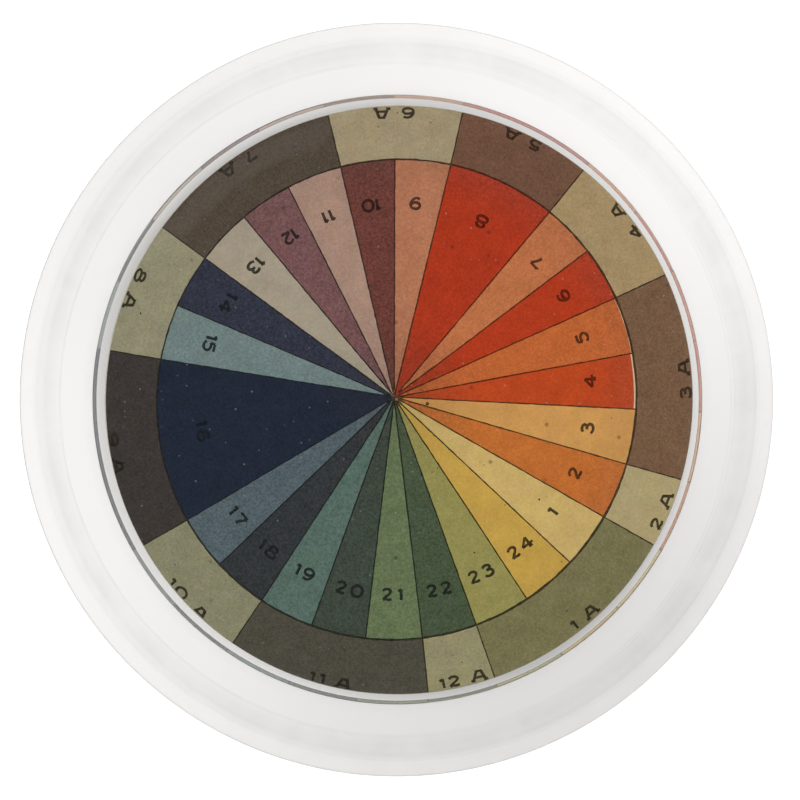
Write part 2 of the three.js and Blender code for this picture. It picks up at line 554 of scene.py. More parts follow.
def printed_paper(middle, wheel_radius):
    """Lithograph on soft wove paper: matt inks that show more grain the duller they are, and pale specks."""
    material, tree, place = new_material("lithographed_wove_paper")
    ink = node(tree, "ShaderNodeAttribute", attribute_name="ink")
    away = node(tree, "ShaderNodeVectorMath", {0: place, 1: middle}, operation="DISTANCE").outputs["Value"]

    # Grain of the stone, about 0.2 mm, coarser than the real one so that it shows
    grain = node(tree, "ShaderNodeTexNoise", {
        "Vector": place, "Scale": 4600.0, "Detail": 2.0, "Roughness": 0.6})
    offset = node(tree, "ShaderNodeMath", {0: grain, 1: 0.5}, operation="SUBTRACT")
    tone = node(tree, "ShaderNodeRGBToBW", {"Color": ink})
    purity = node(tree, "ShaderNodeSeparateColor", {"Color": ink}, mode="HSV").outputs[1]

    # It shows more in darker inks, a little less so in the ring, and half as much in blacks and pure reds
    in_wheel, in_ring, in_black, in_pure = [
        node(tree, "ShaderNodeMapRange", {
            "Value": value, "From Min": low, "From Max": high, "To Min": first, "To Max": last})
        for value, low, high, first, last in (
            (tone, 0.08, 0.28, 1.6, 0.42),
            (tone, 0.06, 0.32, 1.2, 0.5),
            (tone, 0.015, 0.033, 0.5, 1.0),
            (purity, 0.92, 0.97, 1.0, 0.5),
        )]
    outside = node(tree, "ShaderNodeMath", {0: away, 1: wheel_radius}, operation="GREATER_THAN")
    contrast = node(tree, "ShaderNodeMix", {0: outside, 2: in_wheel, 3: in_ring}, data_type="FLOAT")
    for share in (in_black, in_pure):
        contrast = node(tree, "ShaderNodeMath", {0: contrast, 1: share}, operation="MULTIPLY")
    grained = node(tree, "ShaderNodeMath", {0: offset, 1: contrast, 2: 1.0}, operation="MULTIPLY_ADD")

    # Uneven inking, in clouds of about 2 mm
    cloud = mottle(tree, place, {"Scale": 480.0, "Detail": 3.0, "Roughness": 0.55}, 0.92, 1.08)
    shade = node(tree, "ShaderNodeMath", {0: grained, 1: cloud}, operation="MULTIPLY")
    inked = node(tree, "ShaderNodeVectorMath", {0: ink, "Scale": shade}, operation="SCALE")

    # Yellowing in blotches of about 2 mm, which shows most in the blue share
    blotches = node(tree, "ShaderNodeTexNoise", {
        "Vector": place, "Scale": 560.0, "Detail": 4.0, "Roughness": 0.6})
    yellowing = node(tree, "ShaderNodeVectorMath", {
        0: blotches.outputs["Color"], 1: (0.13, 0.10, 0.25), 2: (0.935, 0.95, 0.875)},
        operation="MULTIPLY_ADD")
    colour = node(tree, "ShaderNodeVectorMath", {0: inked, 1: yellowing}, operation="MULTIPLY")

    # Dirt rubbed in round the hole of the compass point, and the hole
    rubbed, hole = [
        node(tree, "ShaderNodeMapRange", {
            "Value": away, "From Min": near * MM, "From Max": far * MM, "To Min": share, "To Max": 0.0},
            interpolation_type="SMOOTHSTEP")
        for near, far, share in ((0.2, 1.0, 0.85), (0.09, 0.17, 0.9))]

    # Over the ink lie pale specks of dust, rarer dark specks of foxing, the dirt and the hole
    covers = (
        (scattered_specks(tree, place, 0.85 * MM, 0.4, 0.32), "B4B4B0"),
        (scattered_specks(tree, place, 1.9 * MM, 0.2, 0.6), "33261C"),
        (rubbed, RUBBED_DIRT),
        (hole, PRICK),
    )
    for share, code in covers:
        cover = node(tree, "ShaderNodeMix", {0: share, 6: colour, 7: linear(code)}, data_type="RGBA")
        colour = cover.outputs[2]

    fibre = node(tree, "ShaderNodeBump", {"Strength": 0.25, "Distance": 0.02 * MM, "Height": grain})
    return surfaced(material, node(tree, "ShaderNodeBsdfPrincipled", {
        "Base Color": colour, "Roughness": 0.95, "Specular IOR Level": 0.0, "Normal": fibre}))


def key_ink():
    """Black key ink of a lithograph: matt, of a tone stored on its corners, and thinner in places."""
    material, tree, place = new_material("lithograph_key_ink")
    key = node(tree, "ShaderNodeAttribute", attribute_name="key")
    thin = mottle(tree, place, {"Scale": 2600.0, "Detail": 2.0}, 1.3, 0.8, used=0.15)
    shown = node(tree, "ShaderNodeVectorMath", {0: key, "Scale": thin}, operation="SCALE")
    return surfaced(material, node(tree, "ShaderNodeBsdfPrincipled", {
        "Base Color": shown, "Roughness": 0.9, "Specular IOR Level": 0.0}))


def pulp_card(colour):
    """Uncoated wood-pulp card: matt, mottled, with short darker fibres."""
    material, tree, place = new_material("uncoated_pulp_card")
    stretch = node(tree, "ShaderNodeMapping", {"Vector": place, "Scale": (1.0, 5.0, 9.0)})
    fibres = node(tree, "ShaderNodeTexNoise", {
        "Vector": stretch, "Scale": 700.0, "Detail": 4.0, "Roughness": 0.65})
    tone = node(tree, "ShaderNodeMapRange", {
        "Value": fibres, "From Min": 0.3, "From Max": 0.7, "To Min": 0.78, "To Max": 1.08})
    base = node(tree, "ShaderNodeVectorMath", {0: (*colour,), "Scale": tone}, operation="SCALE")
    bump = node(tree, "ShaderNodeBump", {"Strength": 0.5, "Distance": 0.04 * MM, "Height": fibres})
    return surfaced(material, node(tree, "ShaderNodeBsdfPrincipled", {
        "Base Color": base, "Roughness": 0.9, "Normal": bump}))


def adhesive_film(colour):
    """Acrylic transfer adhesive: a thin milky film with a slight shine and small trapped bubbles."""
    material, tree, place = new_material("acrylic_adhesive_film")
    bubbles = node(tree, "ShaderNodeTexVoronoi", {"Vector": place, "Scale": 650.0}, feature="F1")
    clear = node(tree, "ShaderNodeMapRange", {
        "Value": bubbles, "From Min": 0.1, "From Max": 0.3, "To Min": 0.82, "To Max": 1.0})
    base = node(tree, "ShaderNodeVectorMath", {0: (*colour,), "Scale": clear}, operation="SCALE")
    gloss = node(tree, "ShaderNodeMapRange", {
        "Value": bubbles, "From Min": 0.0, "From Max": 0.5, "To Min": 0.5, "To Max": 0.3})
    return surfaced(material, node(tree, "ShaderNodeBsdfPrincipled", {
        "Base Color": base, "Roughness": gloss}))


def wool_felt(colour):
    """Pressed wool felt: tangled hairs of two tones, quite matt, with a soft sheen where it is seen flat."""
    material, tree, place = new_material("pressed_wool_felt")
    tangle = mottle(tree, place, {
        "Scale": 900.0, "Detail": 5.0, "Roughness": 0.7, "Distortion": 1.6}, 0.6, 1.35)
    hairs = mottle(tree, place, {"Scale": 3200.0, "Detail": 2.0, "Distortion": 2.5}, 0.75, 1.25)
    both = node(tree, "ShaderNodeMath", {0: tangle, 1: hairs}, operation="MULTIPLY")
    base = node(tree, "ShaderNodeVectorMath", {0: (*colour,), "Scale": both}, operation="SCALE")
    bump = node(tree, "ShaderNodeBump", {"Strength": 0.9, "Distance": 0.12 * MM, "Height": both})
    return surfaced(material, node(tree, "ShaderNodeBsdfPrincipled", {
        "Base Color": base, "Roughness": 1.0, "Specular IOR Level": 0.15,
        "Sheen Weight": 0.3, "Sheen Roughness": 0.5, "Normal": bump}))


def select_only(*pieces):
    """Selects these pieces alone, in object mode, with the last of them active."""
    if bpy.context.mode != "OBJECT":
        bpy.ops.object.mode_set(mode="OBJECT")
    bpy.ops.object.select_all(action="DESELECT")
    for piece in pieces:
        piece.select_set(True)
        bpy.context.view_layer.objects.active = piece


def edit_all():
    """Goes into edit mode with all of the active mesh selected."""
    bpy.ops.object.mode_set(mode="EDIT")
    bpy.ops.mesh.select_all(action="SELECT")


def close_mesh(threshold=MERGE):
    """Joins the points that lie together, turns the faces outwards, and leaves edit mode."""
    bpy.ops.mesh.select_all(action="SELECT")
    bpy.ops.mesh.remove_doubles(threshold=threshold)
    bpy.ops.mesh.normals_make_consistent(inside=False)
    bpy.ops.object.mode_set(mode="OBJECT")


def draw_line(name, points):
    """Draws an open line of edges from point to point and stays in edit mode with its end selected."""
    select_only()
    bpy.ops.mesh.primitive_plane_add(size=MM, location=points[0])
    line = bpy.context.object
    line.name = line.data.name = name
    bpy.ops.object.transform_apply(location=True, rotation=False, scale=False)
    edit_all()
    bpy.ops.mesh.merge(type="CENTER")
    for here, there in zip(points, points[1:]):
        bpy.ops.mesh.extrude_region_move(
            TRANSFORM_OT_translate={"value": Vector(there) - Vector(here)})
    return line


def turn_on_axis(name, profile, segments):
    """Turns a profile of radius and height about the axis into a closed solid."""
    solid = draw_line(name, [(radius, 0.0, height) for radius, height in profile])
    bpy.ops.mesh.select_all(action="SELECT")
    bpy.ops.mesh.spin(steps=segments, angle=math.tau, center=(0, 0, 0), axis=(0, 0, 1))
    close_mesh()
    return solid


def arc(centre, radii, start, end, steps):
    """Points of an arc of an ellipse after its first one, as radius and height."""
    angles = [start + (end - start) * i / steps for i in range(1, steps + 1)]
    return [(centre[0] + radii[0] * math.cos(a), centre[1] + radii[1] * math.sin(a)) for a in angles]


def new_curve(name, width, roundness):
    """Starts an empty curve, drawn with a pen of a width."""
    select_only()
    bpy.ops.curve.primitive_bezier_curve_add(location=(0, 0, 0))
    drawn = bpy.context.object
    drawn.name = drawn.data.name = name
    drawn.data.splines.clear()
    drawn.data.dimensions = "3D"
    drawn.data.bevel_depth = width / 2
    drawn.data.bevel_resolution = roundness
    drawn.data.use_fill_caps = True
    return drawn


def pen_curve(name, strokes, width, height):
    """Draws strokes with a flat pen, as one mesh: each is points, if it closes, if it bends, and weights."""
    drawn = new_curve(name, width, 1)
    drawn.data.resolution_u = 4
    for points, closed, smooth, weights in strokes:
        line = drawn.data.splines.new("BEZIER" if smooth else "POLY")
        along = line.bezier_points if smooth else line.points
        along.add(len(points) - 1)
        for spot, (x, y), weight in zip(along, points, weights):
            spot.co = (x, y, 0.0) if smooth else (x, y, 0.0, 1.0)
            spot.radius = weight
            if smooth:
                spot.handle_left_type = spot.handle_right_type = "AUTO"
        line.use_cyclic_u = closed
    bpy.ops.object.convert(target="MESH")
    drawn = bpy.context.object
    drawn.data.name = name
    edit_all()
    bpy.ops.transform.resize(value=(1, 1, height / width), center_override=(0, 0, 0))
    close_mesh(FINE_MERGE)
    return drawn


def finish_piece(piece, material, smooth=False, stands_for=()):
    """Gives a piece its material, and ties it to the part."""
    piece.data.materials.clear()
    piece.data.materials.append(material)
    select_only(piece)
    if smooth:
        bpy.ops.object.shade_smooth()
    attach(piece, "root")
    if stands_for:
        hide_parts(*stands_for)
    select_only()


def on_print(centre, radius, clockwise):
    """The point of the print at a radius and a clockwise angle in degrees round a centre."""
    angle = math.radians(clockwise)
    return Vector((centre[0] + radius * math.cos(angle), centre[1] - radius * math.sin(angle), 0.0))


def clockwise_angle(away):
    """The clockwise angle of a direction on the print, in degrees."""
    return -math.degrees(math.atan2(away.y, away.x))


def sheet_reach(settings, clockwise):
    """How far the sheet reaches from the wheel's centre at an angle."""
    away = on_print((0.0, 0.0), 1.0, clockwise).xy
    offset = Vector(settings.wheel_centre) - Vector(settings.sheet_centre)
    along = offset.dot(away)
    lean = math.radians(clockwise) - settings.sheet_long_angle
    radius = settings.sheet_radius + settings.sheet_oval * math.cos(2 * lean)
    return -along + math.sqrt(along * along - offset.length_squared + radius ** 2)


def blend(colour, other, share):
    """Mixes a share of another linear colour into a colour."""
    return tuple(a + (b - a) * share for a, b in zip(colour, other))


def fall(value, near, far):
    """Runs smoothly from one at near to nought at far."""
    part = min(max((value - near) / (far - near), 0.0), 1.0)
    return 1 - part * part * (3 - 2 * part)


def redness(colour):
    """How red a linear colour is: nought for a grey, a green or a blue, and near one for pure red."""
    return max(0.0, colour[0] - colour[1]) / colour[0]


def ink_at(settings, clockwise, radius):
    """The colour of the print at an angle and a radius round the wheel, without lines or figures."""
    clockwise = FIRST_ANGLE + (clockwise - FIRST_ANGLE) % 360
    outside = radius > settings.wheel_radius
    fields = SECTORS if outside else WEDGES
    field = next(field for field in fields if field.start <= clockwise < field.end)
    if outside:
        return field.ink
    if radius > settings.wheel_radius - SHORT_INK.get(field.text, 0.0):
        return (*settings.paper, 1.0)

    # Reds have faded to a darker, duller tone at both ends of the wedges, and other inks hardly
    red = redness(field.ink)
    soiled = (SMUDGE_SHARE + SMUDGE_RED_SHARE * red) * fall(radius, *SMUDGE_REACH)
    dulled = HANDLED_SHARE * red * (1 - fall(radius, HANDLED_START, settings.wheel_radius))
    return blend(blend(field.ink, linear(SMUDGE), soiled), linear(HANDLED), dulled)


def paint_key(piece, settings, centre):
    """Stores the tone of flat key ink: a black that the colour under it tints and shows through a little."""
    layer = piece.data.color_attributes.new("key", "FLOAT_COLOR", "POINT")
    for corner, spot in zip(piece.data.vertices, layer.data):
        under = (0.0, 0.0, 0.0, 0.0)
        for side in range(4):
            beside = on_print(corner.co, BESIDE_KEY, side * 90 + 45).xy - centre.xy
            tone = ink_at(settings, clockwise_angle(beside), beside.length)
            under = blend(under, tone, 1 / (side + 1))
        inside = (corner.co.xy - centre.xy).length < settings.wheel_radius
        black = settings.ink if inside else settings.ring_ink
        tinted = [level * (part / max(under[:3])) ** KEY_TINT for level, part in zip(black, under)]
        through = 1 - settings.ink_cover + RED_THROUGH * redness(under) ** 2
        spot.color = (*blend(tinted, under, through), 1.0)


def draw_aside(piece, settings, centre):
    """Moves the wedges to where they were drawn: they meet beside the middle, and their circle is oval."""
    wheel = settings.wheel_radius
    for corner in piece.data.vertices:
        away = corner.co.xy - centre.xy
        lean = -math.atan2(away.y, away.x) - settings.wheel_long_angle
        longer = settings.wheel_oval * math.cos(2 * lean) / wheel
        corner.co.xy += away * longer * fall(away.length, wheel + OVAL_MARGIN, STEADY_RADIUS)
        corner.co.xy += Vector(settings.meeting_shift) * max(1 - away.length / wheel, 0.0)


def lay_on_sheet(drawn):
    """Lifts flat ink on to the top of the sheet."""
    select_only(drawn)
    drawn.location.z = SHEET_HIGH.z + GLUE_CONTACT + KEY_LIFT
    bpy.ops.object.transform_apply(location=True, rotation=True, scale=True)


class PAPERWEIGHT_OT_glass(bpy.types.Operator):
    """Turn the glass body: a thick slab, a steep step and the domed lens."""

    bl_idname = "paperweight.glass"
    bl_label = "Turn the glass"

    def execute(self, context):
        size = context.scene.paperweight_glass
        belly = size.bottom + size.belly_height
        lens_edge = size.bottom + size.lens_edge_height
        shoulder = lens_edge - size.step_height
        flat = size.body_radius - size.base_round

        # Flat ground face, then out to the widest place, and over the rounded rim to the shoulder
        profile = [(0.0, size.bottom), (flat - LEVEL_RING, size.bottom), (flat, size.bottom)]
        profile += arc((flat, belly), (size.base_round, size.belly_height), -math.pi / 2, 0.0, BASE_STEPS)
        rim = (size.body_radius - size.shoulder_radius, shoulder - size.shoulder_drop - belly)
        profile += arc((size.shoulder_radius, belly), rim, 0.0, math.pi / 2, RIM_STEPS)

        # Over the shoulder to the hollow that turns up into the step
        slope = size.step_slope
        hollow = size.step_fillet
        run = (size.step_height - hollow * (1 - math.cos(slope))) / math.tan(slope)
        hollow_radius = size.lens_radius + run + hollow * math.sin(slope)
        profile += [
            (size.shoulder_radius - RIM_CORNER, shoulder - size.shoulder_drop * RIM_CORNER_DROP),
            (hollow_radius + HOLLOW_CORNER, shoulder - size.shoulder_drop * HOLLOW_CORNER_DROP),
            (hollow_radius, shoulder),
        ]
        hollow_centre = (hollow_radius, shoulder + hollow)
        profile += arc(hollow_centre, (hollow, hollow), -math.pi / 2, -math.pi / 2 - slope, HOLLOW_STEPS)

        # Rounded edge between the step and the lens
        lens_angle = math.acos(size.lens_radius / size.lens_curve)
        lens_slope = math.pi / 2 - lens_angle
        worn = size.edge_round
        reach = worn * math.tan((slope - lens_slope) / 2)
        foot = (size.lens_radius + reach * math.cos(slope), lens_edge - reach * math.sin(slope))
        worn_centre = (foot[0] - worn * math.sin(slope), foot[1] - worn * math.cos(slope))
        profile.append(foot)
        profile += arc(worn_centre, (worn, worn), math.pi / 2 - slope, math.pi / 2 - lens_slope, EDGE_STEPS)

        # The lens, up to the axis
        lens_centre = (0.0, lens_edge - size.lens_curve * math.sin(lens_angle))
        profile += arc(
            lens_centre, (size.lens_curve, size.lens_curve),
            lens_angle + reach / size.lens_curve, math.pi / 2, LENS_STEPS)
        profile[-1] = (0.0, profile[-1][1])

        glass = turn_on_axis("clear_glass_body", profile, GLASS_SEGMENTS)
        finish_piece(glass, clear_glass(size.tint), True, ("glass_body",))
        return {"FINISHED"}


class PAPERWEIGHT_OT_sheet(bpy.types.Operator):
    """Print the sheet, wedge by wedge, and cut it round."""

    bl_idname = "paperweight.sheet"
    bl_label = "Print the sheet"

    def execute(self, context):
        size = context.scene.paperweight_print
        top = SHEET_HIGH.z + GLUE_CONTACT
        wheel = size.wheel_radius
        radii = [ring * MM for ring in SHEET_RINGS]
        radii += [wheel - width for width in SHORT_INK.values()]
        radii += [wheel, STEADY_RADIUS, UNCUT_RADIUS]
        centre = Vector((*size.wheel_centre, 0.0))
        points = [on_print(centre, radius, FIRST_ANGLE) + Vector((0, 0, top)) for radius in radii]
        sheet = draw_line("printed_colour_circle", points)
        bpy.ops.mesh.select_all(action="SELECT")
        for wedge in WEDGES:
            turn = wedge.end - wedge.start
            bpy.ops.mesh.spin(
                steps=round(turn / FACE_ANGLE), angle=math.radians(turn),
                center=(centre.x, centre.y, top), axis=(0, 0, 1))
        close_mesh()

        # The cut goes round the sheet's own centre, so the outermost ring of corners moves in to it
        for corner in sheet.data.vertices:
            away = corner.co.xy - centre.xy
            if away.length > STEADY_RADIUS + MM:
                clockwise = clockwise_angle(away)
                corner.co.xy = on_print(centre, sheet_reach(size, clockwise), clockwise).xy
        if sheet.data.polygons[0].normal.z < 0:
            sheet.data.flip_normals()
        bpy.context.view_layer.objects.active = sheet
        wall = sheet.modifiers.new("paper thickness", "SOLIDIFY")
        wall.thickness = SHEET_HIGH.z - SHEET_LOW.z
        wall.offset = -1.0
        bpy.ops.object.modifier_apply(modifier=wall.name)

        self.lay_inks(sheet, size, centre)
        draw_aside(sheet, size, centre)
        paper = printed_paper((centre.x, centre.y, top), wheel)
        finish_piece(sheet, paper, False, ("colour_print",))
        return {"FINISHED"}

    @staticmethod
    def lay_inks(sheet, size, centre):
        """Colours each face of the top by the wedge or sector it lies in, and leaves the rest bare."""
        layer = sheet.data.color_attributes.new("ink", "FLOAT_COLOR", "CORNER")
        for face in sheet.data.polygons:
            away = face.center.xy - centre.xy
            clockwise = clockwise_angle(away)
            for corner in face.loop_indices:
                colour = (*size.cut_edge, 1.0)
                if face.normal.z > 0.5:
                    # A corner on the circle between two fields takes the field of its own face
                    spot = sheet.data.vertices[sheet.data.loops[corner].vertex_index].co.xy - centre.xy
                    low, high = sorted((away.length, spot.length))
                    radius = min(max(spot.length, low + OWN_SIDE), high - OWN_SIDE)
                    colour = ink_at(size, clockwise, radius)
                layer.data[corner].color = colour


class PAPERWEIGHT_OT_lines(bpy.types.Operator):
    """Draw the lines between the wedges and the line round them."""

    bl_idname = "paperweight.lines"
    bl_label = "Draw the lines"

    def execute(self, context):
        size = context.scene.paperweight_print
        chance = random.Random(11)
        centre = Vector((*size.wheel_centre, 0.0))
        ring_edges = {sector.start for sector in SECTORS}
        strokes = []
        for wedge in WEDGES:
            reach = size.wheel_radius
            if wedge.start in ring_edges:
                reach = sheet_reach(size, wedge.start) - LINE_MARGIN
            start = chance.uniform(*LINE_START) * MM
            strokes.append(self.ruled_line(centre, wedge.start, start, reach, chance))
        for clockwise, radius, width in STRAY_SPOTS:
            spot = on_print(centre, radius * MM, clockwise).xy
            tail = Vector([width * MM * share for share in SPOT_TAIL])
            weights = [width * MM / size.line_width * share for share in SPOT_WEIGHTS]
            strokes.append(((spot, spot + tail), False, False, weights))
        lines = pen_curve("ruled_lines", strokes, size.line_width, LINE_THICKNESS)

        # The circle line, on which the pen pressed hardest on the right
        sway = [chance.uniform(-CIRCLE_SWAY, CIRCLE_SWAY) * MM for _ in range(CIRCLE_POINTS)]
        turns = [i * 360 / CIRCLE_POINTS for i in range(CIRCLE_POINTS)]
        circle = [
            on_print(centre, size.wheel_radius + aside + CIRCLE_OUTSET, turn).xy
            for aside, turn in zip(sway, turns)]
        weights = [
            chance.uniform(*PEN_WEIGHT) * (1 + PRESSED_SHARE * math.cos(math.radians(turn - PRESSED_ANGLE)))
            for turn in turns]
        ring = pen_curve(
            "circle_line", [(circle, True, False, weights)], size.circle_line_width, CIRCLE_THICKNESS)
        select_only(ring, lines)
        bpy.ops.object.join()
        lay_on_sheet(lines)
        paint_key(lines, size, centre)
        draw_aside(lines, size, centre)
        finish_piece(lines, key_ink())
        return {"FINISHED"}

    @staticmethod
    def ruled_line(centre, clockwise, start, end, chance):
        """A line outwards at an angle, uneven as a ruling pen leaves it, that just misses the centre."""
        steps = round((end - start) / LINE_STEP)
        away = on_print((0, 0), 1.0, clockwise)
        across = Vector((-away.y, away.x, 0))
        miss = chance.uniform(-LINE_MISS, LINE_MISS) * MM
        points, weights = [], []
        for i in range(steps + 1):
            reach = start + (end - start) * i / steps
            shift = miss * max(0.0, 1 - reach / MISS_REACH) + chance.uniform(-LINE_SWAY, LINE_SWAY) * MM
            points.append((centre + away * reach + across * shift).xy)
            weights.append(chance.uniform(*PEN_WEIGHT))
        return points, False, False, weights


class PAPERWEIGHT_OT_numbers(bpy.types.Operator):
    """Letter the wedges and the ring, figures with their heads to the centre."""

    bl_idname = "paperweight.numbers"
    bl_label = "Letter the wedges"

    def execute(self, context):
        size = context.scene.paperweight_print
        self.chance = random.Random(5)
        self.centre = Vector((*size.wheel_centre, 0.0))
        self.size = size
        inner = {name: self.cut_figure(name, size.number_size) for name in FIGURES if name != "A"}
        outer = {name: self.cut_figure(name, size.label_size) for name in FIGURES}
        placed = []
        for wedge in WEDGES:
            gap = CLOSE_GAP if wedge.text in CLOSE_NUMBERS else NUMBER_GAP
            placed += self.letter(inner, wedge, size.number_radius + wedge.outward, gap)
        for sector in SECTORS:
            placed += self.letter(outer, sector, sector.outward, LABEL_GAP)
        for figure in (*inner.values(), *outer.values()):
            bpy.data.objects.remove(figure)
        select_only(*placed[1:], placed[0])
        bpy.ops.object.join()
        numbers = bpy.context.object
        numbers.name = numbers.data.name = "lettered_numbers"
        lay_on_sheet(numbers)
        paint_key(numbers, size, self.centre)
        finish_piece(numbers, key_ink())
        return {"FINISHED"}

    def cut_figure(self, name, unit):
        """Makes one figure about its own middle."""
        width, parts = FIGURES[name]
        strokes = []
        for kind, *points in parts:
            if kind == "o":
                middle_x, middle_y, reach_x, reach_y = points
                turns = [i * math.tau / LOOP_POINTS for i in range(LOOP_POINTS)]
                points = [
                    (middle_x + reach_x * math.cos(a), middle_y + reach_y * math.sin(a)) for a in turns]
            points = [((x - width / 2) * unit[0], (y - 0.5) * unit[1]) for x, y in points]
            weights = [self.chance.uniform(*FIGURE_WEIGHT) for _ in points]
            if kind == "-":
                # Each straight part is a stroke of its own, so that the corners stay sharp
                for i in range(len(points) - 1):
                    strokes.append((points[i:i + 2], False, False, weights[i:i + 2]))
            else:
                strokes.append((points, kind == "o", True, weights))
        return pen_curve("figure_" + name, strokes, self.size.pen_width, FIGURE_THICKNESS)

    def letter(self, figures, field, radius, gap):
        """Places a copy of each figure of a field's text, side by side across a radius."""
        widths = [figures[name].dimensions.x for name in field.text]
        gaps = [gap + (LETTER_GAP if name == "A" else 0.0) for name in field.text[1:]]
        left = field.sideways - (sum(widths) + sum(gaps)) / 2
        away = on_print((0, 0), 1.0, (field.start + field.end) / 2)
        right = Vector((-away.y, away.x, 0))
        made = []
        for i, name in enumerate(field.text):
            middle = left + widths[i] / 2
            left += widths[i] + (gaps[i] if i < len(gaps) else 0.0)
            copy = figures[name].copy()
            copy.data = figures[name].data.copy()
            bpy.context.collection.objects.link(copy)
            copy.location = self.centre + away * radius + right * middle
            lean = self.chance.uniform(-FIGURE_LEAN, FIGURE_LEAN)
            copy.rotation_euler.z = math.atan2(right.y, right.x) + lean
            select_only(copy)
            bpy.ops.object.transform_apply(location=True, rotation=True, scale=True)
            self.trim_at_cut(copy)
            made.append(copy)
        return made

    def trim_at_cut(self, figure):
        """Cuts off what reaches over the edge of the sheet."""
        sheet_centre = Vector((*self.size.sheet_centre, 0.0))
        limit = self.size.sheet_radius - FIGURE_MARGIN
        corners = [corner.co for corner in figure.data.vertices]
        if max((corner - sheet_centre).xy.length for corner in corners) < limit:
            return
        out = sum(corners, Vector()) / len(corners) - sheet_centre
        out.z = 0.0
        out.normalize()
        edit_all()
        bpy.ops.mesh.bisect(
            plane_co=sheet_centre + out * limit, plane_no=out, use_fill=True, clear_outer=True,
            threshold=FINE_MERGE)
        bpy.ops.object.mode_set(mode="OBJECT")


class PAPERWEIGHT_OT_backing(bpy.types.Operator):
    """Finish the card and the adhesive film behind the print."""

    bl_idname = "paperweight.backing"
    bl_label = "Finish the backing"

    def execute(self, context):
        look = context.scene.paperweight_backing
        finishes = {
            "backing_card": pulp_card(look.card),
            "pad_adhesive": adhesive_film(look.adhesive),
        }
        for name, material in finishes.items():
            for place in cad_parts[name].material_slots:
                place.material = material
        return {"FINISHED"}


class PAPERWEIGHT_OT_felt(bpy.types.Operator):
    """Press the felt pad, with loose hairs round its edge."""

    bl_idname = "paperweight.felt"
    bl_label = "Press the felt pad"

    def execute(self, context):
        size = context.scene.paperweight_backing
        radius, thick, worn = size.felt_radius, size.felt_thickness, size.felt_edge
        flat = radius - worn
        profile = [(0.0, 0.0)]
        profile += [(flat * i / FELT_RINGS, 0.0) for i in range(1, FELT_RINGS + 1)]
        profile += arc((flat, worn), (worn, worn), -math.pi / 2, 0.0, FELT_EDGE_ROWS)
        profile += [(radius, worn + (thick - worn) * i / FELT_ROWS) for i in range(1, FELT_ROWS + 1)]
        profile += [(radius * FELT_TOP_RING, thick), (0.0, thick)]
        pad = turn_on_axis("wool_felt_pad", profile, FELT_SEGMENTS)

        # Pressed hairs make the side uneven by a few hundredths of a millimetre
        chance = random.Random(3)
        for corner in pad.data.vertices:
            reach = corner.co.xy.length
            if reach > radius * SIDE_SHARE and FUZZ_MARGIN < corner.co.z < thick - FUZZ_MARGIN:
                corner.co.xy *= 1 - chance.uniform(0.0, FUZZ) * MM / reach
        material = wool_felt(size.felt)
        finish_piece(pad, material, True, ("felt_pad",))
        finish_piece(self.loose_hairs(radius, thick, chance), material)
        return {"FINISHED"}

    @staticmethod
    def loose_hairs(radius, thick, chance):
        """Short bent hairs that stand out of the felt's side."""
        drawn = new_curve("loose_felt_hairs", HAIR_WIDTH, 0)
        for _ in range(HAIR_COUNT):
            angle = chance.uniform(0, math.tau)
            height = chance.uniform(0.12, 0.95) * thick
            out = Vector((math.cos(angle), math.sin(angle), 0))
            along = Vector((-out.y, out.x, 0))
            lean = chance.uniform(-1, 1)
            rise = chance.uniform(-0.4, 0.5)
            length = chance.uniform(0.18, 0.6) * MM
            root = out * (radius - HAIR_ROOT) + Vector((0, 0, height))
            hair = drawn.data.splines.new("POLY")
            hair.points.add(HAIR_STEPS)
            for i, point in enumerate(hair.points):
                part = i / HAIR_STEPS
                spot = root + out * (length * (part - HAIR_BEND * part * part))
                spot += along * (length * lean * part * part)
                spot.z += length * rise * part * part
                spot.z = min(max(spot.z, HAIR_LOWEST), thick + HAIR_RISE)
                point.co = (*spot, 1.0)
                point.radius = 1.0 - HAIR_THINNING * part
        bpy.ops.object.convert(target="MESH")
        return bpy.context.object


